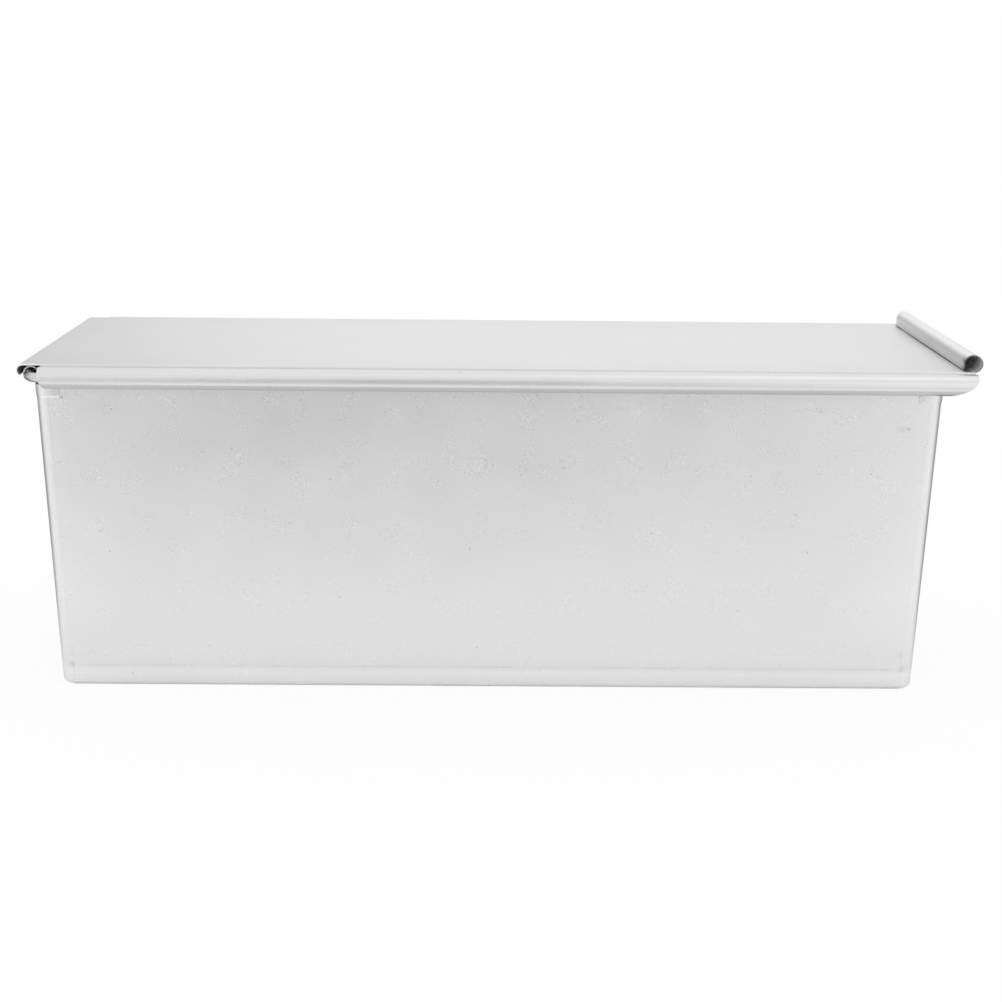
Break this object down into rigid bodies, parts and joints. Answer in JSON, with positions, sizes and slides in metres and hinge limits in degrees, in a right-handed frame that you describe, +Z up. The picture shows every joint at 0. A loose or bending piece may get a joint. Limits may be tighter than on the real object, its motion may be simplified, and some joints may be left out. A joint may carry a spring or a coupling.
{
  "type": "pullman loaf pan",
  "caption": "Straight-sided loaf pan folded from thin matte metal sheet, with a rolled wired rim and a sliding flat lid that has side channels, a stop hook and a rolled grip.",
  "frame": {"origin": "middle of the underside of the base", "axes": "+X along the pan towards the end of the lid with the rolled grip, +Z up, the front long side faces -Y"},
  "size_m": [0.3412, 0.1216, 0.1269],
  "materials": {
    "pan_sheet": "fine matte aluminised sheet",
    "lid_sheet": "fine matte aluminised sheet",
    "wire_steel": "drawn wire, dull zinc grey"
  },
  "bodies": {
    "pan": {"pan_body": "pan_sheet", "rim_wire": "wire_steel"},
    "lid": {"lid": "lid_sheet"}
  },
  "joints": [
    {"name": "lid_slide", "type": "slide", "parent": "pan", "child": "lid", "axis": [-1, 0, 0], "range_m": [0, 0.345]}
  ]
}
